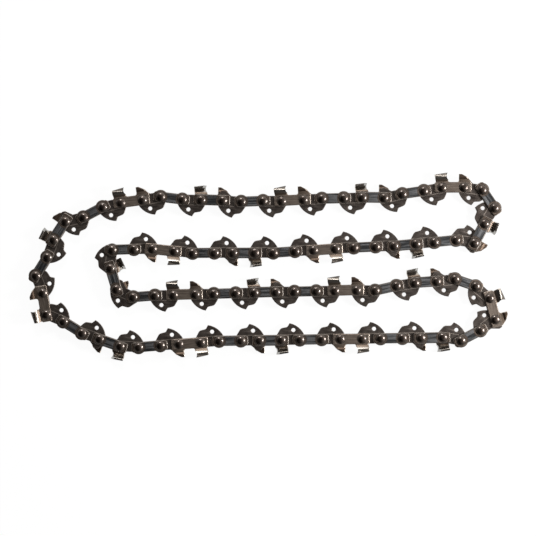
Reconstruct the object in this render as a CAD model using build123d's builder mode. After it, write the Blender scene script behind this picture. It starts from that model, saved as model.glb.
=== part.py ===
from build123d import *
import cmath
import math
import os

# A folded loop of saw chain, lying on its side: drive links, tie straps, cutters and rivets.
# Millimetres, +Z up. Each link has a frame of its own: x along the chain's travel, y out of the loop
# to the cutting side and z across the chain, with its origin midway between the link's two rivets.

# Chain
pitch = 9.32  # half the distance over three rivets in a row
drive_rivet_spacing = 8.58
strap_rivet_spacing = 2 * pitch - drive_rivet_spacing
gauge = 1.3  # thickness of a drive link
strap_thickness = 1.1
side_play = 0.06  # between a drive link and the strap beside it
kerf = 6.8  # width over the cutters of both sides
strap_inside = gauge / 2 + side_play
strap_middle = strap_inside + strap_thickness / 2
strap_outside = strap_inside + strap_thickness

# Rivets: a hub that the drive link turns on, two shanks in the straps and two spun heads
hub_radius = 1.95
running_clearance = 0.05  # hub in the hole of a drive link
shank_radius = 1.5
rivet_seat = 0.03  # shank in the hole of a strap, and head or hub against its face
head_radius = 2.3
head_height = 0.95
head_rim = 0.3  # upright rim under the dome

# Drive link
drive_end_radius = 3.0
drive_back_height = 2.35  # straight upper edge above the rivet line
tang_depth = 7.7
tang_tip_x = 0.3
tang_bulge = 1.1  # rise of the round rear flank over its chord
flank_angle = 40.0  # where the flanks leave the round ends, below the rivet line
shoulder_depth = 5.4
step_foot = (1.4, -5.95)  # foot of the small step in front of the tip
oil_hole_radius = 1.0
oil_hole_center = (-1.4, -4.5)
bumper_height = 4.7  # ramp on the drive link in front of each cutter
bumper_peak_x = 0.1  # ahead of the rear rivet
bumper_run = 3.9
bumper_round = 0.8

# Straps
strap_overhang = 3.4  # end of a strap past its rivet
strap_rail = 2.35  # edge that slides on the guide bar, below the rivet line
strap_waist = 2.35
strap_hump = 3.25  # round end of a tie strap on the cutting side
strap_corner = 1.3
plain_strap_height = 2.6  # straight upper edge of the strap opposite a cutter
plain_strap_corner = 1.0

# Cutters
gullet_floor = 2.5
gullet_front = 2.3  # rear edge of the depth gauge, behind the front rivet
gullet_rear = 2.7  # front edge of the side plate, ahead of the rear rivet
gullet_corner = 0.9
cutter_corner = 0.6
top_plate_height = 7.0  # at the cutting edge
top_plate_fall = 1.0  # lower at the rear end
top_plate_front = 3.0  # ahead of the rear rivet
top_plate_rear = 3.3  # behind the rear rivet
side_plate_rear = 2.9  # behind the rear rivet, at the gullet's height
side_plate_set_in = 0.3  # narrower at the rear end
top_plate_width = 4.1
bend_radius = 0.8  # on the middle of the sheet
bend_limit = 0.6  # largest share of the side plate's upright run that a bend's radius takes
flare_start = 2.95  # height where the side plate leaves the strap's plane, clear of the rivet's head
upright_run = 3.0  # of the side plate, from the end of its flare up to the top plate
flare_end = top_plate_height - upright_run  # height where the flared side plate turns upright
gauge_height = 6.25
gauge_top = 1.4  # short flat top at the rear edge
gauge_crown = 1.0
gauge_tip_round = 0.2
gauge_slope_end = 2.7  # height of the slope's lower end
gauge_set_start = 4.0  # the upper part of the depth gauge is set outward
gauge_set = 0.4
file_radius = 2.0  # round file that hollows the cutting edge
file_angle = 20.0
file_drop = 1.6  # axis of the file below the cutting edge

# Lay of the loop, from its opened pivot along the travel: rivet number and place.
# Rivets between two listed ones start on the line between them.
lay_pitch = 9.32  # pitch that these places are written for
length_error = 1e-10  # largest error left in a link's length
inner_upper_run = {0: (86.5, 12.8), 3: (58.0, 10.3), 6: (31.2, 9.0), 9: (2.7, 7.1), 13: (-34.5, 7.0)}
inner_fold = {15: (-53.0, 8.8), 16: (-61.6, 8.7), 17: (-71.9, 8.5), 18: (-73.0, 0.0), 19: (-70.2, -9.9)}
inner_lower_run = {20: (-62.5, -13.6), 21: (-52.4, -12.7), 27: (3.8, -11.1), 30: (30.9, -10.5),
                   32: (49.4, -10.1), 33: (58.7, -8.4), 34: (67.9, -7.0), 35: (77.4, -6.2)}
lower_turn = {36: (86.0, -5.4), 37: (95.6, -8.5), 38: (102.0, -14.0), 39: (104.6, -23.7), 40: (97.8, -28.9)}
outer_lower_run = {41: (88.9, -33.2), 42: (80.6, -32.1), 47: (33.5, -32.8), 53: (-22.2, -33.7),
                   57: (-59.6, -36.5)}
outer_bend_rise = {58: (-68.2, -36.0), 60: (-85.9, -30.2), 61: (-94.7, -24.6), 62: (-102.6, -21.5)}
outer_bend_top = {63: (-104.1, -11.6), 64: (-107.5, -3.6), 65: (-101.9, 5.0), 66: (-99.1, 13.2),
                  67: (-93.6, 21.6)}
outer_upper_start = {68: (-85.1, 23.5), 69: (-76.0, 28.2), 70: (-67.6, 30.1), 72: (-49.2, 32.7),
                     73: (-39.0, 31.7)}
outer_upper_run = {76: (-12.0, 30.8), 78: (6.5, 31.1), 80: (25.0, 32.0), 83: (53.4, 32.8),
                   86: (79.9, 36.9), 87: (89.9, 37.1)}
upper_turn = {88: (98.3, 36.0), 89: (104.3, 27.7), 90: (100.0, 20.5), 91: (94.8, 11.8)}

# Stretches from the opened pivot: in a run each strap pair shares a node with the drive link ahead of it,
# and in a bend strap pairs and drive links are nodes of their own.
stretches = (("run", 8), ("bend", 4), ("run", 8), ("bend", 6),
             ("run", 10), ("bend", 8), ("run", 9), ("bend", 4))
link_count = sum(2 * count if kind == "run" else count for kind, count in stretches)


def rivet_places():
    """Rivet centres in the plane of the loop, every link at its exact length."""
    listed = {}
    for part_of_lay in (inner_upper_run, inner_fold, inner_lower_run, lower_turn, outer_lower_run,
                        outer_bend_rise, outer_bend_top, outer_upper_start, outer_upper_run, upper_turn):
        listed.update(part_of_lay)
    numbers = sorted(listed)
    places = []
    for here, there in zip(numbers, numbers[1:] + [link_count]):
        start = complex(*listed[here])
        end = complex(*listed[there % link_count])
        places += [start + (end - start) * step / (there - here) for step in range(there - here)]
    places = [place * pitch / lay_pitch for place in places]
    lengths = [drive_rivet_spacing if link % 2 else strap_rivet_spacing for link in range(link_count)]
    worst = pitch
    while worst > length_error:
        worst = 0.0
        for link, length in enumerate(lengths):
            ahead = (link + 1) % link_count
            gap = places[ahead] - places[link]
            miss = abs(gap) - length
            places[link] += gap / abs(gap) * miss / 2
            places[ahead] -= gap / abs(gap) * miss / 2
            worst = max(worst, abs(miss))
    return places


rear_rivet = -drive_rivet_spacing / 2
front_rivet = drive_rivet_spacing / 2
flank_x = drive_end_radius * math.cos(math.radians(flank_angle))
flank_y = -drive_end_radius * math.sin(math.radians(flank_angle))
shoulder_x = front_rivet + flank_x + (flank_y + shoulder_depth) * -math.tan(math.radians(flank_angle))
lobe_reach = math.sqrt(drive_end_radius**2 - drive_back_height**2)
rear_base = (rear_rivet - flank_x, flank_y)
front_base = (front_rivet + flank_x, flank_y)
tip = (tang_tip_x, -tang_depth)


def drive_profile():
    """Sheet outline of a drive link, with its two rivet holes and its oil hole."""
    chord = complex(*tip) - complex(*rear_base)
    bulge = complex(*rear_base) + chord / 2 - 1j * chord / abs(chord) * tang_bulge
    with BuildSketch() as profile:
        with BuildLine():
            Line((rear_rivet + lobe_reach, drive_back_height),
                 (front_rivet - lobe_reach, drive_back_height))
            ThreePointArc((front_rivet - lobe_reach, drive_back_height),
                          (front_rivet + drive_end_radius, 0), front_base)
            Polyline(front_base, (shoulder_x, -shoulder_depth), step_foot, tip)
            ThreePointArc(tip, (bulge.real, bulge.imag), rear_base)
            ThreePointArc(rear_base, (rear_rivet - drive_end_radius, 0),
                          (rear_rivet + lobe_reach, drive_back_height))
        make_face()
        with Locations((rear_rivet, 0), (front_rivet, 0)):
            Circle(hub_radius + running_clearance, mode=Mode.SUBTRACT)
        with Locations(oil_hole_center):
            Circle(oil_hole_radius, mode=Mode.SUBTRACT)
    return profile.sketch


# Plain drive link, blanked from sheet
with BuildPart() as drive_link:
    add(drive_profile())
    extrude(amount=gauge / 2, both=True)

# Drive link with a ramp on its rear end, which stands beside the depth gauge behind it
with BuildPart() as bumper_drive_link:
    peak_x = rear_rivet + bumper_peak_x
    ramp_foot = peak_x + bumper_run
    with BuildSketch():
        with BuildLine():
            FilletPolyline((rear_rivet - drive_end_radius, 0), (peak_x - bumper_round, bumper_height),
                           (peak_x + bumper_round, bumper_height), (ramp_foot, drive_back_height),
                           (ramp_foot, 0), radius=(bumper_round, bumper_round, 0))
            Line((ramp_foot, 0), (rear_rivet - drive_end_radius, 0))
        make_face()
        add(drive_profile())
        with Locations((rear_rivet, 0), (front_rivet, 0)):
            Circle(hub_radius + running_clearance, mode=Mode.SUBTRACT)
    extrude(amount=gauge / 2, both=True)

rear_hole = -strap_rivet_spacing / 2
front_hole = strap_rivet_spacing / 2
strap_end = front_hole + strap_overhang
hump_reach = math.sqrt(strap_hump**2 - strap_waist**2)

# Tie strap: straight on the guide bar's side, a round hump over each rivet on the other
with BuildPart() as tie_strap:
    with BuildSketch(Plane.XY.offset(strap_inside)):
        with Locations((0, (strap_waist - strap_rail) / 2)):
            RectangleRounded(2 * strap_end, strap_waist + strap_rail, strap_corner)
        with Locations((rear_hole, 0), (front_hole, 0)):
            Circle(strap_hump)
        with Locations((0, -strap_rail - strap_hump)):
            Rectangle(4 * strap_end, 2 * strap_hump, mode=Mode.SUBTRACT)
        with Locations((rear_hole, 0), (front_hole, 0)):
            Circle(shank_radius + rivet_seat, mode=Mode.SUBTRACT)
    extrude(amount=strap_thickness)

# Strap opposite a cutter: straight on both sides, with eased upper corners
with BuildPart() as plain_strap:
    with BuildSketch(Plane.XY.offset(strap_inside)):
        with Locations((0, (plain_strap_height - strap_rail) / 2)):
            RectangleRounded(2 * strap_end, plain_strap_height + strap_rail, plain_strap_corner)
        with Locations((rear_hole, 0), (front_hole, 0)):
            Circle(shank_radius + rivet_seat, mode=Mode.SUBTRACT)
    extrude(amount=strap_thickness)

plate_rear = rear_hole - top_plate_rear
plate_front = rear_hole + top_plate_front
side_plate_middle = kerf / 2 - strap_thickness / 2


def bent_section(height, set_in):
    """Section of the cutter's sheet through its side plate and top plate, in the YZ plane."""
    upright = side_plate_middle - set_in
    top = height - strap_thickness / 2
    lowest_top = top_plate_height - top_plate_fall - strap_thickness / 2
    bend = min(bend_radius, bend_limit * (lowest_top - flare_end))
    with BuildLine() as middle:
        FilletPolyline((-2 * strap_rail, strap_middle), (flare_start, strap_middle),
                       (flare_end, upright), (top, upright),
                       (top, upright + strap_thickness / 2 - top_plate_width),
                       radius=bend)
    return middle.line


# Right-hand cutter: one sheet with a side plate flared out and bent over to the top plate at its rear,
# and a depth gauge set slightly outward at its front
with BuildPart() as right_cutter:
    with BuildSketch(Plane.YZ.offset(plate_rear)):
        trace(bent_section(top_plate_height - top_plate_fall, side_plate_set_in), strap_thickness)
    with BuildSketch(Plane.YZ.offset(plate_front)):
        trace(bent_section(top_plate_height, 0), strap_thickness)
    loft(ruled=True)
    with BuildSketch(Plane.YZ.offset(plate_front)):
        with BuildLine():
            Polyline((-2 * strap_rail, strap_middle), (gauge_set_start, strap_middle),
                     (gauge_set_start + 2 * gauge_set, strap_middle + gauge_set),
                     (2 * gauge_height, strap_middle + gauge_set))
        trace(line_width=strap_thickness)
    extrude(amount=strap_end - plate_front)
    with BuildSketch():
        with BuildLine():
            FilletPolyline((-strap_end, -strap_rail), (strap_end, -strap_rail),
                           (strap_end, gauge_slope_end),
                           (front_hole - gullet_front + gauge_top, gauge_height),
                           (front_hole - gullet_front, gauge_height),
                           (front_hole - gullet_front, gullet_floor),
                           (rear_hole + gullet_rear, gullet_floor),
                           (plate_front, top_plate_height), (plate_front, 2 * top_plate_height),
                           (plate_rear, 2 * top_plate_height), (plate_rear, top_plate_height),
                           (rear_hole - side_plate_rear, gullet_floor),
                           (-strap_end, gullet_floor - cutter_corner),
                           radius=(cutter_corner, cutter_corner, cutter_corner, gauge_crown,
                                   gauge_tip_round, gullet_corner, gullet_corner, 0, 0, 0, 0, 0, 0),
                           close=True)
        make_face()
        with Locations((rear_hole, 0), (front_hole, 0)):
            Circle(shank_radius + rivet_seat, mode=Mode.SUBTRACT)
    extrude(amount=kerf, both=True, mode=Mode.INTERSECT)
    file_bite = math.sqrt(file_radius**2 - file_drop**2) / math.cos(math.radians(file_angle))
    file_x = plate_front + file_bite - kerf / 2 * math.tan(math.radians(file_angle))
    with Locations(Location((file_x, top_plate_height - file_drop, 0), (0, file_angle, 0))):
        Cylinder(file_radius, 4 * kerf, mode=Mode.SUBTRACT)

# Rivet, turned and then spun over at both ends
head_seat = strap_outside + rivet_seat
head_top = head_seat + head_height
dome_rise = head_height - head_rim
dome_radius = (head_radius**2 + dome_rise**2) / (2 * dome_rise)
dome_half_angle = math.asin(head_radius / dome_radius) / 2
dome_middle = (dome_radius * math.sin(dome_half_angle),
               head_top - dome_radius * (1 - math.cos(dome_half_angle)))
with BuildPart() as rivet:
    with BuildSketch(Plane.XZ):
        with BuildLine():
            ThreePointArc((0, head_top), dome_middle, (head_radius, head_seat + head_rim))
            Polyline((head_radius, head_seat + head_rim), (head_radius, head_seat),
                     (shank_radius, head_seat), (shank_radius, strap_inside - rivet_seat),
                     (hub_radius, strap_inside - rivet_seat), (hub_radius, 0), (0, 0), (0, head_top))
        make_face()
    revolve(axis=Axis.Z)
    mirror(about=Plane.XY)

# The same pieces on the other side of the chain
with BuildPart() as far_tie_strap:
    mirror(tie_strap.part, about=Plane.XY)
with BuildPart() as far_plain_strap:
    mirror(plain_strap.part, about=Plane.XY)
with BuildPart() as left_cutter:
    mirror(right_cutter.part, about=Plane.XY)

places = rivet_places()


def link_place(link):
    """Frame of a link: midway between its rivets, turned along the travel."""
    start = places[link]
    end = places[(link + 1) % link_count]
    middle = (start + end) / 2
    return Location((middle.real, middle.imag, 0), (0, 0, math.degrees(cmath.phase(end - start))))


def strap_kind(link):
    """Tie straps and cutters take turns, and so do left-hand and right-hand cutters."""
    return ("tie", "left_cutter", "tie", "right_cutter")[link // 2 % 4]


def strap_pair(link):
    """The two sheets of a strap pair and the two rivets that hold them."""
    kinds = {"tie": (tie_strap, far_tie_strap), "left_cutter": (plain_strap, left_cutter),
             "right_cutter": (right_cutter, far_plain_strap)}
    rivets = [(rivet, link_place(link) * Location((hole, 0, 0))) for hole in (rear_hole, front_hole)]
    return [(sheet, link_place(link)) for sheet in kinds[strap_kind(link)]] + rivets


def drive(link):
    """A drive link, with a ramp where a depth gauge stands behind it."""
    behind = strap_kind(link - 1)
    return [(drive_link if behind == "tie" else bumper_drive_link, link_place(link))]


# Nodes, numbered by pitch from the opened pivot
nodes = {}
link = 0
for kind, count in stretches:
    for step in range(count):
        number = f"{link // 2 + 1:02d}"
        if kind == "run":
            nodes[f"{strap_kind(link)}_link_{number}"] = strap_pair(link) + drive(link + 1)
            link += 2
        elif link % 2 == 0:
            nodes[f"{strap_kind(link)}_straps_{number}"] = strap_pair(link)
            link += 1
        else:
            nodes[f"drive_link_{number}"] = drive(link)
            link += 1

# The origin is under the middle of the loop
boxes = [piece.part.moved(place).bounding_box() for pieces in nodes.values() for piece, place in pieces]
left = min(box.min.X for box in boxes)
right = max(box.max.X for box in boxes)
bottom = min(box.min.Y for box in boxes)
top = max(box.max.Y for box in boxes)
lowest = min(box.min.Z for box in boxes)
to_origin = Location((-(left + right) / 2, -(bottom + top) / 2, -lowest))

os.makedirs("parts", exist_ok=True)
for name, pieces in nodes.items():
    with BuildPart() as node:
        for piece, place in pieces:
            with Locations(to_origin * place):
                add(piece.part)
    node.part.label = name
    export_step(node.part, f"parts/{name}.step")
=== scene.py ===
import math

import bmesh
import bpy
from mathutils import Matrix, Vector


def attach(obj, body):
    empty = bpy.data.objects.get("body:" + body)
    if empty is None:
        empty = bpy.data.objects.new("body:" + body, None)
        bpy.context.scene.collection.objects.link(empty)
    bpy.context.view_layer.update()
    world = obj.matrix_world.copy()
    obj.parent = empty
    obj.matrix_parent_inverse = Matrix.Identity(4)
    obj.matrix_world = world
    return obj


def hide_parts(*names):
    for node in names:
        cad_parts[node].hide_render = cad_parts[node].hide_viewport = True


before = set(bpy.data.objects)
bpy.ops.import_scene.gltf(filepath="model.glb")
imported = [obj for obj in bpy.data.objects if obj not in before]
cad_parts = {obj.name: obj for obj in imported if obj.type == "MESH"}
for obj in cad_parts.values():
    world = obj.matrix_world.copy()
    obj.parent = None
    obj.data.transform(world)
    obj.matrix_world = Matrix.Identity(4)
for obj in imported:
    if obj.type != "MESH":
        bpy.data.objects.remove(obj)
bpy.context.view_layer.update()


# The lay of the chain
# Strap pairs and drive links take turns round the loop, joined by rivets. Each strap node holds its two
# rivets, so the frame gives the place of every rivet, and a drive link spans the gap between two pairs.
mm = 0.001
same_spot = 0.001 * mm
rivet_head_across = 4.6 * mm
largest_rivet = 1.1 * rivet_head_across
strap_nodes = {}
drive_nodes = {}
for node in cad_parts:
    numbered = drive_nodes if node.startswith("drive_link") else strap_nodes
    numbered[int(node[-2:])] = node
pitch_numbers = sorted(strap_nodes)


def rivet_centres(node):
    """Centres of the two rivets among the separate solids of a strap node."""
    solids = bmesh.new()
    solids.from_mesh(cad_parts[node].data)
    bmesh.ops.remove_doubles(solids, verts=solids.verts, dist=same_spot)
    unseen = set(solids.verts)
    centres = []
    while unseen:
        growing = [unseen.pop()]
        solid = []
        while growing:
            vert = growing.pop()
            solid.append(vert.co.copy())
            near = {edge.other_vert(vert) for edge in vert.link_edges} & unseen
            unseen -= near
            growing += near
        low = Vector([min(spot[axis] for spot in solid) for axis in range(3)])
        high = Vector([max(spot[axis] for spot in solid) for axis in range(3)])
        if max(high.x - low.x, high.y - low.y) < largest_rivet:
            centres.append((low + high) / 2)
    solids.free()
    return centres


rivets = {number: rivet_centres(strap_nodes[number]) for number in pitch_numbers}
ahead_of = dict(zip(pitch_numbers, pitch_numbers[1:] + pitch_numbers[:1]))
for number, pair in rivets.items():
    pair.sort(key=lambda centre: -min((centre - other).length for other in rivets[ahead_of[number]]))


def link_spot(rear, front):
    """Place of a link: midway between its two rivets, with x along the chain's travel."""
    along = front - rear
    turn = Matrix.Rotation(math.atan2(along.y, along.x), 4, "Z")
    return Matrix.Translation((rear + front) / 2) @ turn


def fit(name, mesh, spot, node):
    """One piece of the chain, riding on the body of the node that it stands for."""
    piece = bpy.data.objects.new(name, mesh)
    bpy.context.collection.objects.link(piece)
    piece.matrix_world = spot
    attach(piece, node)
    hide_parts(node)


# Rivets
# Turned steel pins with a hub that the drive link runs on and a thinner shank through each strap. Both
# ends are spun over into domed heads, then the whole chain is blackened and oiled.
gauge = 1.3
strap_thickness = 1.1
link_play = 0.06
layer_gap = 0.03
strap_inside = gauge / 2 + link_play
strap_middle = strap_inside + strap_thickness / 2
head_seat = strap_inside + strap_thickness + layer_gap
hub_radius = 1.95
shank_radius = 1.5
head_radius = 2.2
head_height = 0.95
head_rim = 0.3
rim_round = 0.14
rim_burnish_and_reflection_from = 1.4
rim_burnish_and_reflection_full = 1.8
hub_chamfer = 0.05
rivet_patch = 1.2
rivet_sharp_angle = 35
dome_power = 3.0
dome_steps = 12
turned_steps = 40


def linear(hex_colour):
    """sRGB hex colour as the linear colour that shaders take."""
    channels = [int(hex_colour[at:at + 2], 16) / 255 for at in (1, 3, 5)]
    straight = [c / 12.92 if c <= 0.04045 else ((c + 0.055) / 1.055) ** 2.4 for c in channels]
    return (*straight, 1)


def add_node(material, kind, inputs, **settings):
    """A node with its settings; each input is a value or the socket that feeds it."""
    node = material.node_tree.nodes.new(kind)
    for setting, value in settings.items():
        setattr(node, setting, value)
    for name, value in inputs.items():
        if isinstance(value, bpy.types.NodeSocket):
            material.node_tree.links.new(value, node.inputs[name])
        else:
            node.inputs[name].default_value = value
    return node


# Blackened steel under oil: dark brown, with a tight highlight and the spinning tool's faint rings, drawn
# coarser than the real ones so that they show. The rim is paler: partly burnished where it was spun over,
# and partly a painted reflection of the bright walls on its slope.
blackened_steel = bpy.data.materials.new("blackened_rivet_steel")
blackened_steel.use_nodes = True
blackened_steel.node_tree.nodes.clear()
here = add_node(blackened_steel, "ShaderNodeTexCoord", {}).outputs["Object"]
piece_chance = add_node(blackened_steel, "ShaderNodeObjectInfo", {}).outputs["Random"]
patches = add_node(blackened_steel, "ShaderNodeTexNoise",
                   {"Vector": here, "W": piece_chance, "Scale": 1 / (rivet_patch * mm), "Detail": 4.0},
                   noise_dimensions="4D").outputs["Fac"]
brown = add_node(blackened_steel, "ShaderNodeValToRGB", {"Fac": patches})
brown.color_ramp.elements[0].position = 0.3
brown.color_ramp.elements[0].color = linear("#3b312b")
brown.color_ramp.elements[1].position = 0.75
brown.color_ramp.elements[1].color = linear("#524943")
flat_here = add_node(blackened_steel, "ShaderNodeVectorMath", {0: here, 1: (1, 1, 0)},
                     operation="MULTIPLY").outputs["Vector"]
from_axis = add_node(blackened_steel, "ShaderNodeVectorMath", {0: flat_here},
                     operation="LENGTH").outputs["Value"]
# Paler rim: partly burnish, partly a painted reflection of the bright walls on the sloping rim.
rim_burnish_and_reflection = add_node(blackened_steel, "ShaderNodeMapRange",
                {"Value": from_axis, "From Min": rim_burnish_and_reflection_from * mm, "From Max": rim_burnish_and_reflection_full * mm},
                interpolation_type="SMOOTHSTEP").outputs["Result"]
rim_burnish_and_reflection_tone = add_node(blackened_steel, "ShaderNodeMix",
                     {"Factor": rim_burnish_and_reflection, 6: brown.outputs["Color"], 7: linear("#59514b")},
                     data_type="RGBA").outputs[2]
gloss = add_node(blackened_steel, "ShaderNodeMapRange",
                 {"Value": patches, "To Min": 0.27, "To Max": 0.37}).outputs["Result"]
tool_ring = 0.2 * mm
rings = add_node(blackened_steel, "ShaderNodeTexWave",
                 {"Vector": here, "Scale": math.tau / (20 * tool_ring), "Distortion": 1.5},
                 wave_type="RINGS", rings_direction="Z").outputs["Fac"]
relief = add_node(blackened_steel, "ShaderNodeBump",
                  {"Height": rings, "Strength": 0.06, "Distance": 0.02 * mm}).outputs["Normal"]
shader = add_node(blackened_steel, "ShaderNodeBsdfPrincipled",
                  {"Base Color": rim_burnish_and_reflection_tone, "Metallic": 1.0, "Roughness": gloss,
                   "Normal": relief, "Coat Weight": 0.6, "Coat Roughness": 0.12})
add_node(blackened_steel, "ShaderNodeOutputMaterial", {"Surface": shader.outputs["BSDF"]})

head_foot = head_seat + head_rim
dome_rise = head_height - head_rim
dome_foot = head_radius - rim_round
hub_top = strap_inside - layer_gap
half_profile = [(hub_radius, 0), (hub_radius, strap_inside - hub_chamfer),
                (hub_radius - hub_chamfer, hub_top), (shank_radius, hub_top), (shank_radius, head_seat),
                (head_radius - rim_round / 2, head_seat), (head_radius, head_seat + rim_round / 2),
                (head_radius, head_foot - rim_round)]
for step in range(dome_steps):
    share = 1 - step / dome_steps
    half_profile.append((dome_foot * share, head_seat + head_height - dome_rise * share ** dome_power))
half_profile.append((0, head_seat + head_height))
profile = [(r, -z) for r, z in reversed(half_profile[1:])] + half_profile
turned = bmesh.new()
line = [turned.verts.new((r * mm, 0, z * mm)) for r, z in profile]
edges = [turned.edges.new(pair) for pair in zip(line, line[1:])]
bmesh.ops.spin(turned, geom=line + edges, axis=(0, 0, 1), cent=(0, 0, 0), angle=math.tau,
               steps=turned_steps, use_merge=True)
bmesh.ops.remove_doubles(turned, verts=turned.verts, dist=same_spot)
bmesh.ops.recalc_face_normals(turned, faces=turned.faces)
rivet_mesh = bpy.data.meshes.new("rivet")
turned.to_mesh(rivet_mesh)
turned.free()
rivet_mesh.shade_smooth()
rivet_mesh.set_sharp_from_angle(angle=math.radians(rivet_sharp_angle))
rivet_mesh.materials.append(blackened_steel)
for number, pair in rivets.items():
    for end, centre in zip(("rear", "front"), pair):
        fit(f"rivet_{number:02d}_{end}", rivet_mesh, Matrix.Translation(centre), strap_nodes[number])


# Drive links
# Blanked from 1.3 mm carbon steel strip, hardened, tumbled and oil-blackened. The hooked tang runs in the
# guide bar's groove, its hole carries oil, and links ahead of a cutter have a ramp beside the depth gauge.
drive_rivet_spacing = 8.58
drive_end_radius = 3.0
drive_back_height = 2.35
tang_tip = (0.3, -7.7)
tang_bulge = 1.1
flank_angle = 40
shoulder = (4.45, -5.4)
shoulder_round = 2.0
step_foot = (1.4, -5.95)
step_round = 1.0
oil_hole_radius = 0.92
oil_hole_centre = (-1.4, -4.5)
drive_hole_radius = hub_radius + 0.05
bumper_height = 4.7
bumper_peak = 0.1
bumper_half_top = 0.8
bumper_run = 3.9
bumper_round = 0.8
drive_edge = 0.2
bar_height = 2.4
bar_line_half = 0.14
drive_patch = 3.0
drive_grain = 0.3
sheet_weld = 0.002
sheet_sharp_angle = 50
arc_step = 9


def arc(centre, radius, start, end):
    """Points along an arc from one angle to another, in degrees."""
    steps = max(1, round(abs(end - start) / arc_step))
    angles = [math.radians(start + (end - start) * step / steps) for step in range(steps + 1)]
    return [(centre[0] + radius * math.cos(a), centre[1] + radius * math.sin(a)) for a in angles]


def rounded(corners, closed=True):
    """Line through corners (x, y, radius), each one rounded to its radius."""
    points = []
    count = len(corners)
    for at, (x, y, radius) in enumerate(corners):
        if radius == 0 or (not closed and at in (0, count - 1)):
            points.append((x, y))
            continue
        corner = complex(x, y)
        back = complex(*corners[at - 1][:2]) - corner
        on = complex(*corners[(at + 1) % count][:2]) - corner
        back /= abs(back)
        on /= abs(on)
        half = abs(math.atan2((on / back).imag, (on / back).real)) / 2
        centre = corner + (back + on) / abs(back + on) * radius / math.sin(half)
        first = corner + back * radius / math.tan(half) - centre
        sweep = (math.pi - 2 * half) * (1 if (on / back).imag < 0 else -1)
        steps = max(2, round(math.degrees(abs(sweep)) / arc_step))
        for step in range(steps + 1):
            spot = centre + first * complex(math.cos(sweep * step / steps), math.sin(sweep * step / steps))
            points.append((spot.real, spot.imag))
    return points


def blank(outlines, thickness, edge):
    """Flat sheet inside the first outline and outside the others, in millimetres, with rounded edges."""
    curve = bpy.data.curves.new("blank", "CURVE")
    curve.dimensions = "2D"
    curve.fill_mode = "BOTH"
    curve.extrude = thickness / 2 - edge
    curve.bevel_depth = edge
    curve.bevel_resolution = 2
    curve.offset = -edge
    for outline in outlines:
        spline = curve.splines.new("POLY")
        spline.points.add(len(outline) - 1)
        for point, (x, y) in zip(spline.points, outline):
            point.co = (x, y, 0, 1)
        spline.use_cyclic_u = True
    holder = bpy.data.objects.new("blank", curve)
    flat = bmesh.new()
    flat.from_mesh(bpy.data.meshes.new_from_object(holder))
    bpy.data.objects.remove(holder)
    bmesh.ops.remove_doubles(flat, verts=flat.verts, dist=sheet_weld)
    bmesh.ops.recalc_face_normals(flat, faces=flat.faces)
    return flat


def dressed(name, shape, materials, cut_with=None):
    """Mesh of a finished sheet piece: flat faces shaded flat, and rounded edges and bends smooth."""
    bmesh.ops.transform(shape, matrix=Matrix.Scale(mm, 4), verts=shape.verts)
    mesh = bpy.data.meshes.new(name)
    shape.to_mesh(mesh)
    shape.free()
    mesh.shade_smooth()
    mesh.set_sharp_from_angle(angle=math.radians(sheet_sharp_angle))
    for material in materials:
        mesh.materials.append(material)
    holder = bpy.data.objects.new(name, mesh)
    bpy.context.collection.objects.link(holder)
    if cut_with:
        cut = holder.modifiers.new("ground", "BOOLEAN")
        cut.operation = "DIFFERENCE"
        cut.object = cut_with
    holder.modifiers.new("shading", "WEIGHTED_NORMAL").keep_sharp = True
    depsgraph = bpy.context.evaluated_depsgraph_get()
    finished = bpy.data.meshes.new_from_object(holder.evaluated_get(depsgraph),
                                               preserve_all_data_layers=True, depsgraph=depsgraph)
    bpy.data.objects.remove(holder)
    finished.name = name
    return finished


# Oil-blackened strip steel: dark warm brown with a fine satin grain, paler along the line where the guide
# bar's rails rub, and paler on the rounded edges, partly from wear and partly as a painted highlight.
strip_steel = bpy.data.materials.new("blackened_strip_steel")
strip_steel.use_nodes = True
strip_steel.node_tree.nodes.clear()
place = add_node(strip_steel, "ShaderNodeTexCoord", {})
piece_chance = add_node(strip_steel, "ShaderNodeObjectInfo", {}).outputs["Random"]
patches = add_node(strip_steel, "ShaderNodeTexNoise",
                   {"Vector": place.outputs["Object"], "W": piece_chance, "Scale": 1 / (drive_patch * mm),
                    "Detail": 5.0, "Roughness": 0.6}, noise_dimensions="4D").outputs["Fac"]
tone = add_node(strip_steel, "ShaderNodeValToRGB", {"Fac": patches})
tone.color_ramp.elements[0].position = 0.32
tone.color_ramp.elements[0].color = linear("#48413d")
tone.color_ramp.elements[1].position = 0.7
tone.color_ramp.elements[1].color = linear("#5d5651")
facing = add_node(strip_steel, "ShaderNodeSeparateXYZ", {"Vector": place.outputs["Normal"]}).outputs["Z"]
flatness = add_node(strip_steel, "ShaderNodeMath", {0: facing}, operation="ABSOLUTE").outputs["Value"]
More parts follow.
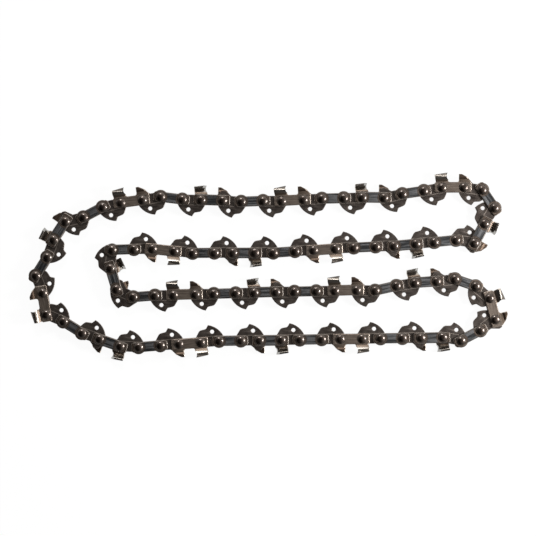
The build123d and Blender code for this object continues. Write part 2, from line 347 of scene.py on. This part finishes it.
# Rounded edges made paler: partly wear, partly a painted highlight where they would catch the lamps.
edge_wear_and_highlight = add_node(strip_steel, "ShaderNodeMapRange",
                  {"Value": flatness, "From Min": 0.98, "From Max": 0.6, "To Min": 0.0, "To Max": 0.55})
edge_wear_and_highlight_tone = add_node(strip_steel, "ShaderNodeMix",
                       {"Factor": edge_wear_and_highlight.outputs["Result"], 6: tone.outputs["Color"], 7: linear("#8a7d74")},
                       data_type="RGBA").outputs[2]
height = add_node(strip_steel, "ShaderNodeSeparateXYZ", {"Vector": place.outputs["Object"]}).outputs["Y"]
bar_line = add_node(strip_steel, "ShaderNodeMath",
                    {0: height, 1: -bar_height * mm, 2: bar_line_half * mm},
                    operation="COMPARE").outputs["Value"]
bar_wear = add_node(strip_steel, "ShaderNodeMath", {0: bar_line, 1: 0.6},
                    operation="MULTIPLY").outputs["Value"]
edge_wear_and_highlight_tone = add_node(strip_steel, "ShaderNodeMix",
                       {"Factor": bar_wear, 6: edge_wear_and_highlight_tone, 7: linear("#b0a59b")},
                       data_type="RGBA").outputs[2]
grain = add_node(strip_steel, "ShaderNodeTexNoise",
                 {"Vector": place.outputs["Object"], "Scale": 1 / (drive_grain * mm),
                  "Detail": 3.0}).outputs["Fac"]
satin = add_node(strip_steel, "ShaderNodeMapRange",
                 {"Value": patches, "To Min": 0.34, "To Max": 0.52}).outputs["Result"]
relief = add_node(strip_steel, "ShaderNodeBump",
                  {"Height": grain, "Strength": 0.1, "Distance": 0.03 * mm}).outputs["Normal"]
shader = add_node(strip_steel, "ShaderNodeBsdfPrincipled",
                  {"Base Color": edge_wear_and_highlight_tone, "Metallic": 1.0, "Roughness": satin, "Normal": relief})
add_node(strip_steel, "ShaderNodeOutputMaterial", {"Surface": shader.outputs["BSDF"]})

rear_rivet = (-drive_rivet_spacing / 2, 0)
front_rivet = (drive_rivet_spacing / 2, 0)
back_angle = math.degrees(math.asin(drive_back_height / drive_end_radius))
front_end = arc(front_rivet, drive_end_radius, 180 - back_angle, -flank_angle)
rear_end = arc(rear_rivet, drive_end_radius, 180 + flank_angle, back_angle)
chord = complex(*rear_end[0]) - complex(*tang_tip)
bulge_radius = (abs(chord) ** 2 / 4 + tang_bulge ** 2) / (2 * tang_bulge)
bulge_middle = complex(*tang_tip) + chord / 2 + 1j * chord / abs(chord) * (tang_bulge - bulge_radius)
bulge_start = complex(*tang_tip) - bulge_middle
bulge_turn = 2 * math.asin(abs(chord) / 2 / bulge_radius)
bulge_from = math.degrees(math.atan2(bulge_start.imag, bulge_start.real))
bulge = arc((bulge_middle.real, bulge_middle.imag), bulge_radius, bulge_from,
            bulge_from - math.degrees(bulge_turn))
nose = front_end + rounded([(*front_end[-1], 0), (*shoulder, shoulder_round), (*step_foot, step_round),
                            (*tang_tip, 0)], closed=False)[1:]
drive_holes = [arc(rear_rivet, drive_hole_radius, 0, 360)[:-1],
               arc(front_rivet, drive_hole_radius, 0, 360)[:-1],
               arc(oil_hole_centre, oil_hole_radius, 0, 360)[:-1]]
peak = rear_rivet[0] + bumper_peak
ramp_start = 180 - back_angle
ramp = rounded([(*arc(rear_rivet, drive_end_radius, ramp_start, ramp_start)[0], 0),
                (peak - bumper_half_top, bumper_height, bumper_round),
                (peak + bumper_half_top, bumper_height, bumper_round),
                (peak + bumper_run, drive_back_height, 0)], closed=False)
bumper_end = arc(rear_rivet, drive_end_radius, 180 + flank_angle, ramp_start)[:-1] + ramp
plain_outline = nose + bulge[1:-1] + rear_end
bumper_outline = nose + bulge[1:-1] + bumper_end
drive_mesh = dressed("drive_link", blank([plain_outline, *drive_holes], gauge, drive_edge), [strip_steel])
bumper_mesh = dressed("bumper_drive_link", blank([bumper_outline, *drive_holes], gauge, drive_edge),
                      [strip_steel])
for number in pitch_numbers:
    shape = bumper_mesh if "cutter" in strap_nodes[number] else drive_mesh
    spot = link_spot(rivets[number][1], rivets[ahead_of[number]][0])
    node = drive_nodes.get(number, strap_nodes[number])
    fit(f"drive_{number:02d}", shape, spot, node)


# Tie straps and plain straps
# Pairs of plates blanked from 1.1 mm spring steel, blued in the temper oven. A tie strap has a hump over
# each rivet, and a plain strap stands opposite a cutter. The riveting tool leaves a ring round each head.
strap_rivet_spacing = 10.06
strap_end = strap_rivet_spacing / 2 + 3.4
strap_rail = 2.35
strap_waist = 2.35
strap_hump = 3.25
strap_corner = 1.3
plain_strap_height = 2.6
plain_strap_corner = 1.0
strap_edge = 0.35
ring_inside = 2.45
ring_outside = 2.85
ring_fade = 0.7
edge_fade = 0.5
streak_length = 14
streak_width = 0.9
strap_patch = 1.6
strap_hole_play = 0.03

# Blued spring steel: slate grey with drawn lines along the strip between the rivets, browner and duller
# round them where the riveting tool pressed, and pale on its rounded edges and ends, partly from wear and
# partly as a painted highlight. The lines are drawn coarser than the real ones, so that they show.
blued_steel = bpy.data.materials.new("blued_spring_steel")
blued_steel.use_nodes = True
blued_steel.node_tree.nodes.clear()
place = add_node(blued_steel, "ShaderNodeTexCoord", {})
chance = add_node(blued_steel, "ShaderNodeObjectInfo", {}).outputs["Random"]
own_part = add_node(blued_steel, "ShaderNodeMath", {0: chance, 1: 100.0},
                    operation="MULTIPLY").outputs["Value"]
streak_scale = (1 / (streak_length * mm), 1 / (streak_width * mm), 1 / (streak_width * mm))
along_strip = add_node(blued_steel, "ShaderNodeMapping",
                       {"Vector": place.outputs["Object"], "Scale": streak_scale})
streaks = add_node(blued_steel, "ShaderNodeTexNoise",
                   {"Vector": along_strip.outputs["Vector"], "W": own_part, "Scale": 1.0, "Detail": 3.0,
                    "Roughness": 0.5}, noise_dimensions="4D").outputs["Fac"]
slate = add_node(blued_steel, "ShaderNodeValToRGB", {"Fac": streaks})
slate.color_ramp.elements[0].position = 0.44
slate.color_ramp.elements[0].color = linear("#56585a")
slate.color_ramp.elements[1].position = 0.58
slate.color_ramp.elements[1].color = linear("#a2a3a5")
patches = add_node(blued_steel, "ShaderNodeTexNoise",
                   {"Vector": place.outputs["Object"], "W": own_part, "Scale": 1 / (strap_patch * mm),
                    "Detail": 4.0},
                   noise_dimensions="4D").outputs["Fac"]
brown = add_node(blued_steel, "ShaderNodeValToRGB", {"Fac": patches})
brown.color_ramp.elements[0].position = 0.32
brown.color_ramp.elements[0].color = linear("#43382f")
brown.color_ramp.elements[1].position = 0.7
brown.color_ramp.elements[1].color = linear("#5c4e45")
split = add_node(blued_steel, "ShaderNodeSeparateXYZ", {"Vector": place.outputs["Object"]})
from_middle = add_node(blued_steel, "ShaderNodeMath", {0: split.outputs["X"]},
                       operation="ABSOLUTE").outputs["Value"]
off_x = add_node(blued_steel, "ShaderNodeMath", {0: from_middle, 1: strap_rivet_spacing / 2 * mm},
                 operation="SUBTRACT").outputs["Value"]
off_rivet = add_node(blued_steel, "ShaderNodeCombineXYZ", {"X": off_x, "Y": split.outputs["Y"]})
from_rivet = add_node(blued_steel, "ShaderNodeVectorMath", {0: off_rivet.outputs["Vector"]},
                      operation="LENGTH").outputs["Value"]
inward = add_node(blued_steel, "ShaderNodeMath", {0: off_x, 1: 0.0},
                  operation="LESS_THAN").outputs["Value"]
between = add_node(blued_steel, "ShaderNodeMapRange",
                   {"Value": from_rivet, "From Min": ring_outside * mm,
                    "From Max": (ring_outside + ring_fade) * mm},
                   interpolation_type="SMOOTHSTEP").outputs["Result"]
middle = add_node(blued_steel, "ShaderNodeMath", {0: between, 1: inward},
                  operation="MULTIPLY").outputs["Value"]
tone = add_node(blued_steel, "ShaderNodeMix",
                {"Factor": middle, 6: brown.outputs["Color"], 7: slate.outputs["Color"]},
                data_type="RGBA").outputs[2]
facing = add_node(blued_steel, "ShaderNodeSeparateXYZ", {"Vector": place.outputs["Normal"]}).outputs["Z"]
flatness = add_node(blued_steel, "ShaderNodeMath", {0: facing}, operation="ABSOLUTE").outputs["Value"]
on_face = add_node(blued_steel, "ShaderNodeMath", {0: flatness, 1: 0.99},
                   operation="GREATER_THAN").outputs["Value"]
tone = add_node(blued_steel, "ShaderNodeMix", {"Factor": on_face, 6: linear("#4a443f"), 7: tone},
                data_type="RGBA").outputs[2]
ring_middle = (ring_inside + ring_outside) / 2 * mm
ring_half = (ring_outside - ring_inside) / 2 * mm
pressed_ring = add_node(blued_steel, "ShaderNodeMath", {0: from_rivet, 1: ring_middle, 2: ring_half},
                        operation="COMPARE").outputs["Value"]
# Rounded edges made paler: partly wear, partly a painted highlight.
edge_wear_and_highlight = add_node(blued_steel, "ShaderNodeMapRange",
                  {"Value": flatness, "From Min": 0.98, "From Max": 0.6, "To Min": 0.0, "To Max": 0.3})
wear_and_highlight = add_node(blued_steel, "ShaderNodeMath", {0: pressed_ring, 1: 0.15, 2: edge_wear_and_highlight.outputs["Result"]},
                operation="MULTIPLY_ADD", use_clamp=True).outputs["Value"]
endward = add_node(blued_steel, "ShaderNodeSeparateXYZ", {"Vector": place.outputs["Normal"]}).outputs["X"]
endward = add_node(blued_steel, "ShaderNodeMath", {0: endward}, operation="ABSOLUTE").outputs["Value"]
# Ends made paler still: partly wear, partly a painted highlight where they face the lamps.
end_wear_and_highlight = add_node(blued_steel, "ShaderNodeMapRange",
                    {"Value": endward, "From Min": 0.15, "From Max": 0.7, "To Min": 0.0, "To Max": 0.65})
wear_and_highlight = add_node(blued_steel, "ShaderNodeMath", {0: wear_and_highlight, 1: end_wear_and_highlight.outputs["Result"]},
                operation="MAXIMUM").outputs["Value"]
wear_and_highlight_tone = add_node(blued_steel, "ShaderNodeMix", {"Factor": wear_and_highlight, 6: tone, 7: linear("#b9b1a9")},
                     data_type="RGBA").outputs[2]
satin = add_node(blued_steel, "ShaderNodeMapRange",
                 {"Value": middle, "To Min": 0.42, "To Max": 0.3}).outputs["Result"]
satin = add_node(blued_steel, "ShaderNodeMix", {"Factor": on_face, 2: 0.55, 3: satin},
                 data_type="FLOAT").outputs[0]
drawn = add_node(blued_steel, "ShaderNodeMath", {0: streaks, 1: 0.5},
                 operation="SUBTRACT").outputs["Value"]
drawn = add_node(blued_steel, "ShaderNodeMath", {0: drawn, 1: middle},
                 operation="MULTIPLY").outputs["Value"]
off_line = add_node(blued_steel, "ShaderNodeMath", {0: split.outputs["Y"]},
                    operation="ABSOLUTE").outputs["Value"]
off_edge = add_node(blued_steel, "ShaderNodeMapRange",
                    {"Value": off_line, "From Min": (strap_waist - strap_edge) * mm,
                     "From Max": (strap_waist - strap_edge - edge_fade) * mm}).outputs["Result"]
drawn = add_node(blued_steel, "ShaderNodeMath", {0: drawn, 1: off_edge},
                 operation="MULTIPLY").outputs["Value"]
relief = add_node(blued_steel, "ShaderNodeBump",
                  {"Height": drawn, "Strength": 0.6, "Distance": 0.25 * mm}).outputs["Normal"]
shader = add_node(blued_steel, "ShaderNodeBsdfPrincipled",
                  {"Base Color": wear_and_highlight_tone, "Metallic": 1.0, "Roughness": satin, "Normal": relief})
add_node(blued_steel, "ShaderNodeOutputMaterial", {"Surface": shader.outputs["BSDF"]})

rear_hole = (-strap_rivet_spacing / 2, 0)
front_hole = (strap_rivet_spacing / 2, 0)
strap_holes = [arc(hole, shank_radius + strap_hole_play, 0, 360)[:-1] for hole in (rear_hole, front_hole)]
hump_start = math.degrees(math.asin(strap_waist / strap_hump))
# The hump begins before the corner has ended, so the corner's last point is left out.
strap_front = rounded([(0, -strap_rail, 0), (strap_end, -strap_rail, strap_corner),
                       (strap_end, strap_waist, strap_corner), (front_hole[0], strap_waist, 0)],
                      closed=False)
front_half = strap_front[1:-2] + arc(front_hole, strap_hump, hump_start, 180 - hump_start)
tie_outline = front_half + [(-x, y) for x, y in reversed(front_half)]
plain_strap_outline = rounded([(-strap_end, -strap_rail, plain_strap_corner),
                               (strap_end, -strap_rail, plain_strap_corner),
                               (strap_end, plain_strap_height, plain_strap_corner),
                               (-strap_end, plain_strap_height, plain_strap_corner)])
tie_mesh = dressed("tie_strap", blank([tie_outline, *strap_holes], strap_thickness, strap_edge),
                   [blued_steel])
plain_mesh = dressed("plain_strap", blank([plain_strap_outline, *strap_holes], strap_thickness, strap_edge),
                     [blued_steel])
near_side = Matrix.Translation((0, 0, strap_middle * mm))
far_side = Matrix.Translation((0, 0, -strap_middle * mm))
for number in pitch_numbers:
    node = strap_nodes[number]
    spot = link_spot(*rivets[number])
    if node.startswith("tie"):
        fit(f"tie_strap_{number:02d}_near", tie_mesh, spot @ near_side, node)
        fit(f"tie_strap_{number:02d}_far", tie_mesh, spot @ far_side, node)
    else:
        other_side = far_side if node.startswith("right") else near_side
        fit(f"plain_strap_{number:02d}", plain_mesh, spot @ other_side, node)


# Cutters
# One 1.1 mm blank each: the rear is flared out of the strap's plane and bent over into a top plate, the
# front stands up as the depth gauge. The tooth is hard-chromed and its edge is ground with a round file.
kerf = 6.8
side_plate_middle = kerf / 2 - strap_thickness / 2
gullet_floor = 2.5
gullet_front = 2.3
gullet_rear = 2.7
gullet_corner = 0.9
cutter_corner = 0.6
top_plate_height = 7.0
top_plate_fall = 1.0
top_plate_front = 3.0
top_plate_rear = 3.3
side_plate_rear = 2.9
side_plate_set_in = 0.3
top_plate_width = 4.1
bend_radius = 0.6
flare_start = 2.95
flare_end_front = 5.0
flare_end_rear = 4.4
side_plate_lean = 0.4
gauge_height = 6.25
gauge_top = 1.4
gauge_crown = 1.0
gauge_shoulder = (6.55, 4.85)
gauge_shoulder_round = 2.5
gauge_tip_round = 0.2
gauge_bend = 0.6
gauge_slope_end = 2.7
gauge_set_start = 4.0
gauge_set = 0.4
file_radius = 2.0
file_angle = 20
file_drop = 1.6
file_length = 4 * kerf
file_facets = 48
cutter_edge = 0.28
bend_rows = 26
row_slack = 0.001
chrome_starts = 3.5
chrome_full = 3.9
top_band_shade_starts = 5.2
top_band_shade_full = 6.0
bare_from = 2.3
bare_full = 2.8
grain_length = 5
grain_width = 0.6
scratch_length = 3
scratch_width = 0.15

# Hardened steel, warm grey and satin with a grain along the strip, under hard chrome from the tooth's foot
# upward. The chrome is darkened toward the top plate with painted shade, the depth gauge stays brown and is
# darkened with painted shade, and the ends are pale, partly from wear and partly as a painted highlight.
cutter_steel = bpy.data.materials.new("chromed_cutter_steel")
cutter_steel.use_nodes = True
cutter_steel.node_tree.nodes.clear()
place = add_node(cutter_steel, "ShaderNodeTexCoord", {})
piece_chance = add_node(cutter_steel, "ShaderNodeObjectInfo", {}).outputs["Random"]
grain_scale = (1 / (grain_length * mm), 1 / (grain_width * mm), 1 / (grain_width * mm))
along_strip = add_node(cutter_steel, "ShaderNodeMapping",
                       {"Vector": place.outputs["Object"], "Scale": grain_scale})
streaks = add_node(cutter_steel, "ShaderNodeTexNoise",
                   {"Vector": along_strip.outputs["Vector"], "W": piece_chance, "Scale": 1.0, "Detail": 5.0,
                    "Roughness": 0.6}, noise_dimensions="4D").outputs["Fac"]
tone = add_node(cutter_steel, "ShaderNodeValToRGB", {"Fac": streaks})
tone.color_ramp.elements[0].position = 0.35
tone.color_ramp.elements[0].color = linear("#6a5f57")
tone.color_ramp.elements[1].position = 0.7
tone.color_ramp.elements[1].color = linear("#84796f")
split = add_node(cutter_steel, "ShaderNodeSeparateXYZ", {"Vector": place.outputs["Object"]})
plated = add_node(cutter_steel, "ShaderNodeMapRange",
                  {"Value": split.outputs["Y"], "From Min": chrome_starts * mm,
                   "From Max": chrome_full * mm},
                  interpolation_type="SMOOTHSTEP").outputs["Result"]
behind = add_node(cutter_steel, "ShaderNodeMath", {0: split.outputs["X"], 1: 0.0},
                  operation="LESS_THAN").outputs["Value"]
chrome = add_node(cutter_steel, "ShaderNodeMath", {0: plated, 1: behind},
                  operation="MULTIPLY").outputs["Value"]
bare_flare = add_node(cutter_steel, "ShaderNodeMapRange",
                      {"Value": split.outputs["Y"], "From Min": bare_from * mm, "From Max": bare_full * mm},
                      interpolation_type="SMOOTHSTEP").outputs["Result"]
bare_tone = add_node(cutter_steel, "ShaderNodeMix",
                     {"Factor": bare_flare, 6: tone.outputs["Color"], 7: linear("#665a50")},
                     data_type="RGBA").outputs[2]
plated_tone = add_node(cutter_steel, "ShaderNodeMix",
                       {"Factor": chrome, 6: bare_tone, 7: linear("#857f78")},
                       data_type="RGBA").outputs[2]
# Painted shade: the chrome darkens toward the top plate, where its bend would otherwise reflect the white
# table.
painted_top_band_shade = add_node(cutter_steel, "ShaderNodeMapRange",
                  {"Value": split.outputs["Y"], "From Min": top_band_shade_starts * mm,
                   "From Max": top_band_shade_full * mm, "To Max": 0.6},
                  interpolation_type="SMOOTHSTEP").outputs["Result"]
plated_tone = add_node(cutter_steel, "ShaderNodeMix",
                       {"Factor": painted_top_band_shade, 6: plated_tone, 7: linear("#524d49")},
                       data_type="RGBA").outputs[2]
ahead = add_node(cutter_steel, "ShaderNodeMath", {0: 1.0, 1: behind},
                 operation="SUBTRACT").outputs["Value"]
# The depth gauge is left unplated and darkened: its own brown steel with painted shade over it.
gauge_brown_and_shade = add_node(cutter_steel, "ShaderNodeMath", {0: plated, 1: ahead},
                   operation="MULTIPLY").outputs["Value"]
plated_tone = add_node(cutter_steel, "ShaderNodeMix",
                       {"Factor": gauge_brown_and_shade, 6: plated_tone, 7: linear("#4d4138")},
                       data_type="RGBA").outputs[2]
endward = add_node(cutter_steel, "ShaderNodeSeparateXYZ", {"Vector": place.outputs["Normal"]}).outputs["X"]
endward = add_node(cutter_steel, "ShaderNodeMath", {0: endward}, operation="ABSOLUTE").outputs["Value"]
# Ends made paler: partly wear, partly a painted highlight where they face the lamps.
edge_wear_and_highlight = add_node(cutter_steel, "ShaderNodeMapRange",
                  {"Value": endward, "From Min": 0.15, "From Max": 0.7, "To Min": 0.0, "To Max": 0.65})
plated_tone = add_node(cutter_steel, "ShaderNodeMix",
                       {"Factor": edge_wear_and_highlight.outputs["Result"], 6: plated_tone, 7: linear("#d8ccbf")},
                       data_type="RGBA").outputs[2]
steel_gloss = add_node(cutter_steel, "ShaderNodeMapRange",
                       {"Value": streaks, "To Min": 0.36, "To Max": 0.5}).outputs["Result"]
plated_gloss = add_node(cutter_steel, "ShaderNodeMix", {"Factor": chrome, 2: steel_gloss, 3: 0.3},
                        data_type="FLOAT").outputs[0]
shader = add_node(cutter_steel, "ShaderNodeBsdfPrincipled",
                  {"Base Color": plated_tone, "Metallic": 1.0, "Roughness": plated_gloss})
add_node(cutter_steel, "ShaderNodeOutputMaterial", {"Surface": shader.outputs["BSDF"]})

# Bare ground steel where the round file has been: bright, with fine scratches along the file's stroke.
ground_steel = bpy.data.materials.new("ground_edge_steel")
ground_steel.use_nodes = True
ground_steel.node_tree.nodes.clear()
here = add_node(ground_steel, "ShaderNodeTexCoord", {}).outputs["Object"]
scratch_scale = (1 / (scratch_width * mm), 1 / (scratch_width * mm), 1 / (scratch_length * mm))
stroke = add_node(ground_steel, "ShaderNodeMapping",
                  {"Vector": here, "Scale": scratch_scale}).outputs["Vector"]
scratches = add_node(ground_steel, "ShaderNodeTexNoise",
                     {"Vector": stroke, "Scale": 1.0, "Detail": 2.0}).outputs["Fac"]
bright = add_node(ground_steel, "ShaderNodeValToRGB", {"Fac": scratches})
bright.color_ramp.elements[0].color = linear("#8b8985")
bright.color_ramp.elements[1].color = linear("#b3b1ac")
shader = add_node(ground_steel, "ShaderNodeBsdfPrincipled",
                  {"Base Color": bright.outputs["Color"], "Metallic": 1.0, "Roughness": 0.32})
add_node(ground_steel, "ShaderNodeOutputMaterial", {"Surface": shader.outputs["BSDF"]})

plate_rear = rear_hole[0] - top_plate_rear
plate_front = rear_hole[0] + top_plate_front


def section(corners):
    """Middle line of the bent sheet across the chain, with its length so far and its outward side."""
    line = rounded(corners, closed=False)
    run = [line[0][0]]
    for (y0, z0), (y1, z1) in zip(line, line[1:]):
        run.append(run[-1] + math.hypot(y1 - y0, z1 - z0))
    outward = []
    for at in range(len(line)):
        (y0, z0), (y1, z1) = line[max(at - 1, 0)], line[min(at + 1, len(line) - 1)]
        outward.append(Vector((z0 - z1, y1 - y0)).normalized())
    return line, run, outward


def tooth_section(height, set_in, flare_end):
    """Section through the side plate and the top plate."""
    upright = side_plate_middle - set_in
    top = height - strap_thickness / 2
    inner_end = upright + strap_thickness / 2 - top_plate_width
    return section([(-2 * strap_rail, strap_middle, 0), (flare_start, strap_middle, bend_radius),
                    (flare_end, upright - side_plate_lean, bend_radius), (top, upright, bend_radius),
                    (top, inner_end, 0)])


tooth_rear = tooth_section(top_plate_height - top_plate_fall, side_plate_set_in, flare_end_rear)
tooth_front = tooth_section(top_plate_height, 0, flare_end_front)
gauge_section = section([(-2 * strap_rail, strap_middle, 0), (gauge_set_start, strap_middle, gauge_bend),
                         (gauge_set_start + 2 * gauge_set, strap_middle + gauge_set, gauge_bend),
                         (2 * gauge_height, strap_middle + gauge_set, 0)])


def bent(x, run, off):
    """Where a point of the flat blank goes when the cutter is bent."""
    rear, front = (gauge_section, gauge_section) if x > 0 else (tooth_rear, tooth_front)
    share = min(max((x - plate_rear) / (plate_front - plate_rear), 0), 1)
    runs = [a + (b - a) * share for a, b in zip(rear[1], front[1])]
    at = max(1, min(len(runs) - 1, sum(1 for r in runs if r < run)))
    part = (run - runs[at - 1]) / (runs[at] - runs[at - 1])
    spot = Vector((0, 0))
    side = Vector((0, 0))
    for ends, weight in ((rear, 1 - share), (front, share)):
        spot += weight * Vector(ends[0][at - 1]).lerp(Vector(ends[0][at]), part)
        side += weight * ends[2][at - 1].lerp(ends[2][at], min(max(part, 0), 1))
    spot += off * side.normalized()
    return Vector((x, *spot))


top_bend_rear = tooth_rear[1][-1] - top_plate_width
top_bend_front = tooth_front[1][-1] - top_plate_width
gauge_rear = front_hole[0] - gullet_front
cutter_outline = rounded([
    (-strap_end, -strap_rail, cutter_corner), (strap_end, -strap_rail, cutter_corner),
    (strap_end, gauge_slope_end, cutter_corner), (*gauge_shoulder, gauge_shoulder_round),
    (gauge_rear + gauge_top, gauge_height, gauge_crown), (gauge_rear, gauge_height, gauge_tip_round),
    (gauge_rear, gullet_floor, gullet_corner),
    (rear_hole[0] + gullet_rear, gullet_floor, gullet_corner), (plate_front, top_bend_front, 0),
    (plate_front, tooth_front[1][-1], 0), (plate_rear, tooth_rear[1][-1], 0),
    (plate_rear, top_bend_rear, 0),
    (rear_hole[0] - side_plate_rear, gullet_floor, 0), (-strap_end, gullet_floor - cutter_corner, 0)])
file_rod = bpy.data.meshes.new("file_rod")
rod = bmesh.new()
bmesh.ops.create_cone(rod, cap_ends=True, segments=file_facets, radius1=file_radius * mm,
                      radius2=file_radius * mm, depth=file_length * mm)
for face in rod.faces:
    face.material_index = 1
rod.to_mesh(file_rod)
rod.free()
file_bite = math.sqrt(file_radius ** 2 - file_drop ** 2) / math.cos(math.radians(file_angle))
file_x = plate_front + file_bite - kerf / 2 * math.tan(math.radians(file_angle))
cutter_meshes = {}
for hand, sign in (("right", 1), ("left", -1)):
    tooth = blank([cutter_outline, *strap_holes], strap_thickness, cutter_edge)
    lowest_bend = flare_start - bend_radius
    highest_bend = top_bend_front + 2 * bend_radius
    for row in range(bend_rows):
        level = lowest_bend + (highest_bend - lowest_bend) * row / bend_rows
        bmesh.ops.bisect_plane(tooth, geom=[*tooth.verts, *tooth.edges, *tooth.faces], dist=row_slack,
                               plane_co=(0, level, 0), plane_no=(0, 1, 0))
    for vert in tooth.verts:
        vert.co = bent(*vert.co)
        vert.co.z *= sign
    if sign < 0:
        bmesh.ops.reverse_faces(tooth, faces=tooth.faces)
    file_tool = bpy.data.objects.new("file_tool", file_rod)
    bpy.context.collection.objects.link(file_tool)
    file_tool.matrix_world = (Matrix.Translation((file_x * mm, (top_plate_height - file_drop) * mm, 0))
                              @ Matrix.Rotation(math.radians(sign * file_angle), 4, "Y"))
    cutter_meshes[hand] = dressed(f"{hand}_cutter", tooth, [cutter_steel, ground_steel], file_tool)
    bpy.data.objects.remove(file_tool)
for number in pitch_numbers:
    node = strap_nodes[number]
    hand = node.split("_")[0]
    if hand in cutter_meshes:
        spot = link_spot(*rivets[number])
        fit(f"{hand}_cutter_{number:02d}", cutter_meshes[hand], spot, node)


# Studio
# A white table, a soft light behind the chain, a small hard one close by at its right, and a white tent
# that is darker at the left, in front and overhead. The camera looks straight down from about a metre.
floor_mesh = bpy.data.meshes.new("table")
reach = 20
table_corners = [(-reach, -reach, 0), (reach, -reach, 0), (reach, reach, 0), (-reach, reach, 0)]
floor_mesh.from_pydata(table_corners, [], [(0, 1, 2, 3)])
floor = bpy.data.objects.new("table", floor_mesh)
bpy.context.collection.objects.link(floor)
white_table = bpy.data.materials.new("white_table")
white_table.use_nodes = True
white_table.node_tree.nodes.clear()
path = add_node(white_table, "ShaderNodeLightPath", {})
seen = add_node(white_table, "ShaderNodeMath",
                {0: path.outputs["Is Camera Ray"], 1: path.outputs["Is Glossy Ray"]}, operation="MAXIMUM")
seen = add_node(white_table, "ShaderNodeMath",
                {0: seen.outputs["Value"], 1: path.outputs["Is Transmission Ray"]}, operation="MAXIMUM")
paper = add_node(white_table, "ShaderNodeBsdfDiffuse", {"Color": linear("#e8e8e8")})
shade = add_node(white_table, "ShaderNodeBsdfDiffuse", {"Color": linear("#404040")})
glow = add_node(white_table, "ShaderNodeEmission", {"Color": linear("#ffffff"), "Strength": 0.95})
backlit = add_node(white_table, "ShaderNodeAddShader",
                   {0: shade.outputs["BSDF"], 1: glow.outputs["Emission"]})
table_look = add_node(white_table, "ShaderNodeMixShader",
                      {"Fac": seen.outputs["Value"], 1: paper.outputs["BSDF"],
                       2: backlit.outputs["Shader"]})
add_node(white_table, "ShaderNodeOutputMaterial", {"Surface": table_look.outputs["Shader"]})
floor_mesh.materials.append(white_table)

dark_overhead = (-0.12, -0.2, 0.972)
bright_side = (0.6, 0.8, 0.0)
room = bpy.data.worlds.new("room")
bpy.context.scene.world = room
room.use_nodes = True
room.node_tree.nodes.clear()
direction = add_node(room, "ShaderNodeTexCoord", {}).outputs["Generated"]
to_right = add_node(room, "ShaderNodeSeparateXYZ", {"Vector": direction}).outputs["X"]
overhead = add_node(room, "ShaderNodeMapRange",
                    {"Value": to_right, "From Min": -0.03, "From Max": 0.3, "To Min": 0.0, "To Max": 1.1})
from_dark = add_node(room, "ShaderNodeVectorMath", {0: direction, 1: dark_overhead},
                     operation="DOT_PRODUCT").outputs["Value"]
tent = add_node(room, "ShaderNodeMapRange",
                {"Value": from_dark, "From Min": 0.86, "From Max": 0.4,
                 "To Min": overhead.outputs["Result"], "To Max": 1.0},
                interpolation_type="SMOOTHSTEP").outputs["Result"]
toward_light = add_node(room, "ShaderNodeVectorMath", {0: direction, 1: bright_side},
                        operation="DOT_PRODUCT").outputs["Value"]
lit_side = add_node(room, "ShaderNodeMapRange",
                    {"Value": toward_light, "From Min": -1.0, "From Max": 1.0,
                     "To Min": 0.0, "To Max": 1.15})
brightness = add_node(room, "ShaderNodeMath", {0: tent, 1: lit_side.outputs["Result"]},
                      operation="MULTIPLY").outputs["Value"]
walls = add_node(room, "ShaderNodeBackground",
                 {"Color": linear("#f4f1ee"), "Strength": brightness})
add_node(room, "ShaderNodeOutputWorld", {"Surface": walls.outputs["Background"]})

for name, azimuth, elevation, away, width, depth, watts in (("soft_light", 97, 43, 1.2, 0.3, 0.2, 7),
                                                            ("hard_light", -2, 33, 0.4, 0.1, 0.1, 2.1)):
    lamp = bpy.data.lights.new(name, "AREA")
    lamp.shape = "RECTANGLE"
    lamp.size = width
    lamp.size_y = depth
    lamp.energy = watts
    holder = bpy.data.objects.new(name, lamp)
    bpy.context.collection.objects.link(holder)
    a = math.radians(azimuth)
    e = math.radians(elevation)
    toward = Vector((math.cos(a) * math.cos(e), math.sin(a) * math.cos(e), math.sin(e)))
    holder.location = away * toward
    holder.rotation_euler = (-toward).to_track_quat("-Z", "Y").to_euler()

field_of_view = 247.73 * mm
photo_centre = Vector((-0.06, -0.61, 3.4)) * mm
lens = bpy.data.cameras.new("camera")
lens.lens = 142
lens.sensor_width = 36
camera = bpy.data.objects.new("camera", lens)
bpy.context.collection.objects.link(camera)
camera.location = photo_centre + Vector((0, 0, field_of_view * lens.lens / lens.sensor_width))
bpy.context.scene.camera = camera
bpy.context.scene.view_settings.view_transform = "Standard"
